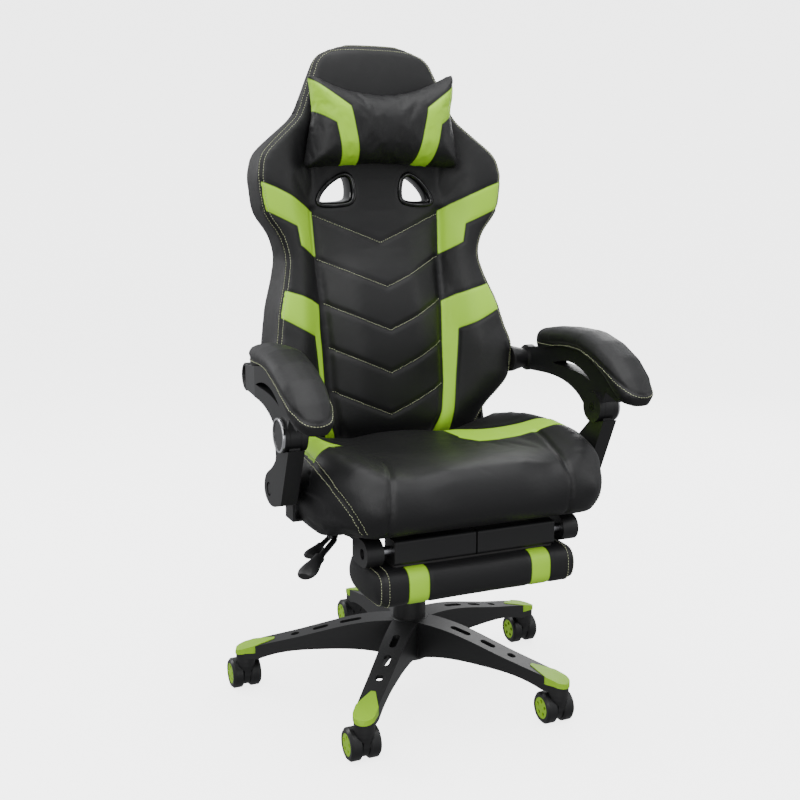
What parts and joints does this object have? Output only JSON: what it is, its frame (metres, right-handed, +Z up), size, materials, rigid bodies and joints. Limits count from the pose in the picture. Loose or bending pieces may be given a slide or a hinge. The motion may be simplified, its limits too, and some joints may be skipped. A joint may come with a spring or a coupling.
{
  "type": "gaming chair",
  "caption": "High-back gaming chair with reclining back, linked padded arms, head pillow, pull-out footrest and a five-star caster base.",
  "frame": {"origin": "on the floor under the axis of the gas lift, chair at its lowest and upright", "axes": "+Z up; the sitter faces -Y; the sitter's left is +X"},
  "size_m": [0.662, 0.6868, 1.218],
  "materials": {
    "base_nylon": "glass-filled nylon, fine satin grain",
    "lime_plastic": "lime green, fine pebbled texture",
    "black_plastic": "black moulded plastic, satin",
    "guide_plastic": "natural acetal bush",
    "tyre_black": "black polyurethane tread, slight gloss",
    "bright_steel": "ground and plated steel",
    "painted_steel": "black powder coat",
    "plywood": "plywood stained black",
    "black_vinyl": "black bonded vinyl, fine grain, pale green contrast stitching, lime panels",
    "grip_plastic": "black moulded grip, ribbed",
    "gloss_black": "polished black plastic",
    "chrome": "polished chrome rim",
    "strap_elastic": "woven black elastic"
  },
  "bodies": {
    "base": {"star_base": "base_nylon", "leg_tip_caps": "lime_plastic", "gas_cylinder": "bright_steel", "cylinder_guide": "guide_plastic", "lower_sleeve": "black_plastic"},
    "sleeve": {"middle_sleeve": "black_plastic"},
    "piston": {"piston_rod": "bright_steel", "thrust_bearing": "bright_steel"},
    "seat": {"lift_tube": "bright_steel", "upper_sleeve": "black_plastic", "seat_mechanism": "painted_steel", "seat_pan": "plywood", "seat_cushion": "black_vinyl", "recline_plates": "painted_steel", "arm_brackets": "painted_steel", "footrest_sleeves": "painted_steel"},
    "height_lever": {"height_lever": "painted_steel", "height_paddle": "grip_plastic"},
    "recline_lever": {"recline_lever": "painted_steel", "recline_grip": "grip_plastic"},
    "back": {"back_frame": "painted_steel", "back_shell": "black_vinyl", "back_cushion": "black_vinyl", "eye_bezels": "gloss_black", "head_pillow": "black_vinyl", "pillow_strap": "strap_elastic"},
    "arm_left": {"arm_frame_left": "black_plastic", "arm_pad_left": "black_vinyl", "hub_cap_left": "chrome"},
    "arm_right": {"arm_frame_right": "black_plastic", "arm_pad_right": "black_vinyl", "hub_cap_right": "chrome"},
    "link_left": {"arm_link_left": "black_plastic"},
    "link_right": {"arm_link_right": "black_plastic"},
    "footrest": {"footrest_rods": "bright_steel", "footrest_brackets": "black_plastic", "footrest_tube": "bright_steel"},
    "footrest_pad": {"footrest_bar": "black_plastic", "footrest_board": "plywood", "footrest_pad": "black_vinyl"},
    "caster_1": {"caster_hood_1": "black_plastic", "caster_pins_1": "bright_steel"},
    "wheels_1": {"caster_wheels_1": "tyre_black", "caster_discs_1": "lime_plastic"},
    "caster_2": {"caster_hood_2": "black_plastic", "caster_pins_2": "bright_steel"},
    "wheels_2": {"caster_wheels_2": "tyre_black", "caster_discs_2": "lime_plastic"},
    "caster_3": {"caster_hood_3": "black_plastic", "caster_pins_3": "bright_steel"},
    "wheels_3": {"caster_wheels_3": "tyre_black", "caster_discs_3": "lime_plastic"},
    "caster_4": {"caster_hood_4": "black_plastic", "caster_pins_4": "bright_steel"},
    "wheels_4": {"caster_wheels_4": "tyre_black", "caster_discs_4": "lime_plastic"},
    "caster_5": {"caster_hood_5": "black_plastic", "caster_pins_5": "bright_steel"},
    "wheels_5": {"caster_wheels_5": "tyre_black", "caster_discs_5": "lime_plastic"}
  },
  "joints": [
    {"name": "base_swivel", "type": "hinge", "parent": "base", "child": "piston", "pos_m": [0, 0, 0.1], "axis": [0, 0, 1], "continuous": true},
    {"name": "seat_lift", "type": "slide", "parent": "piston", "child": "seat", "axis": [0, 0, 1], "range_m": [0, 0.08]},
    {"name": "sleeve_lift", "type": "slide", "parent": "base", "child": "sleeve", "axis": [0, 0, 1], "range_m": [0, 0.04]},
    {"name": "height_lever_pull", "type": "hinge", "parent": "seat", "child": "height_lever", "pos_m": [-0.057, -0.024, 0.352], "axis": [0, 1, 0], "range_deg": [0, 3.5], "stiffness_Nm_per_rad": 3},
    {"name": "recline_lever_pull", "type": "hinge", "parent": "seat", "child": "recline_lever", "pos_m": [-0.208, -0.14, 0.37], "axis": [-0.9806, 0.1961, 0], "range_deg": [0, 10], "stiffness_Nm_per_rad": 2},
    {"name": "back_recline", "type": "hinge", "parent": "seat", "child": "back", "pos_m": [0, 0.14, 0.508], "axis": [-1, 0, 0], "range_deg": [0, 55]},
    {"name": "arm_left_level", "type": "hinge", "parent": "back", "child": "arm_left", "pos_m": [0.27, 0.06, 0.617], "axis": [-1, 0, 0], "range_deg": [-55, 0]},
    {"name": "link_left_swing", "type": "hinge", "parent": "seat", "child": "link_left", "pos_m": [0.27, -0.11, 0.453], "axis": [-1, 0, 0], "range_deg": [0, 55]},
    {"name": "arm_right_level", "type": "hinge", "parent": "back", "child": "arm_right", "pos_m": [-0.27, 0.06, 0.617], "axis": [-1, 0, 0], "range_deg": [-55, 0]},
    {"name": "link_right_swing", "type": "hinge", "parent": "seat", "child": "link_right", "pos_m": [-0.27, -0.11, 0.453], "axis": [-1, 0, 0], "range_deg": [0, 55]},
    {"name": "footrest_slide", "type": "slide", "parent": "seat", "child": "footrest", "axis": [0, -1, 0], "range_m": [0, 0.25]},
    {"name": "footrest_flip", "type": "hinge", "parent": "footrest", "child": "footrest_pad", "pos_m": [0, -0.254, 0.3673], "axis": [-1, 0, 0], "range_deg": [0, 180]},
    {"name": "caster_1_swivel", "type": "hinge", "parent": "base", "child": "caster_1", "pos_m": [0.3028, 0.08683, 0.06], "axis": [0, 0, 1], "continuous": true},
    {"name": "wheels_1_roll", "type": "hinge", "parent": "caster_1", "child": "wheels_1", "pos_m": [0.3028, 0.10083, 0.029], "axis": [1, 0, 0], "continuous": true},
    {"name": "caster_2_swivel", "type": "hinge", "parent": "base", "child": "caster_2", "pos_m": [0.01099, 0.31481, 0.06], "axis": [0, 0, 1], "continuous": true},
    {"name": "wheels_2_roll", "type": "hinge", "parent": "caster_2", "child": "wheels_2", "pos_m": [0.01099, 0.32881, 0.029], "axis": [1, 0, 0], "continuous": true},
    {"name": "caster_3_swivel", "type": "hinge", "parent": "base", "child": "caster_3", "pos_m": [-0.296, 0.10774, 0.06], "axis": [0, 0, 1], "continuous": true},
    {"name": "wheels_3_roll", "type": "hinge", "parent": "caster_3", "child": "wheels_3", "pos_m": [-0.296, 0.12174, 0.029], "axis": [1, 0, 0], "continuous": true},
    {"name": "caster_4_swivel", "type": "hinge", "parent": "base", "child": "caster_4", "pos_m": [-0.19393, -0.24822, 0.06], "axis": [0, 0, 1], "continuous": true},
    {"name": "wheels_4_roll", "type": "hinge", "parent": "caster_4", "child": "wheels_4", "pos_m": [-0.19393, -0.23422, 0.029], "axis": [1, 0, 0], "continuous": true},
    {"name": "caster_5_swivel", "type": "hinge", "parent": "base", "child": "caster_5", "pos_m": [0.17615, -0.26115, 0.06], "axis": [0, 0, 1], "continuous": true},
    {"name": "wheels_5_roll", "type": "hinge", "parent": "caster_5", "child": "wheels_5", "pos_m": [0.17615, -0.24715, 0.029], "axis": [1, 0, 0], "continuous": true}
  ],
  "couplings": [
    {"joint": "sleeve_lift", "follows": "seat_lift", "ratio": 0.5},
    {"joint": "arm_left_level", "follows": "back_recline", "ratio": -1},
    {"joint": "arm_right_level", "follows": "back_recline", "ratio": -1},
    {"joint": "link_left_swing", "follows": "back_recline", "ratio": 1},
    {"joint": "link_right_swing", "follows": "back_recline", "ratio": 1},
    {"joint": "footrest_flip", "follows": "footrest_slide", "rad_per_m": 12.566}
  ]
}
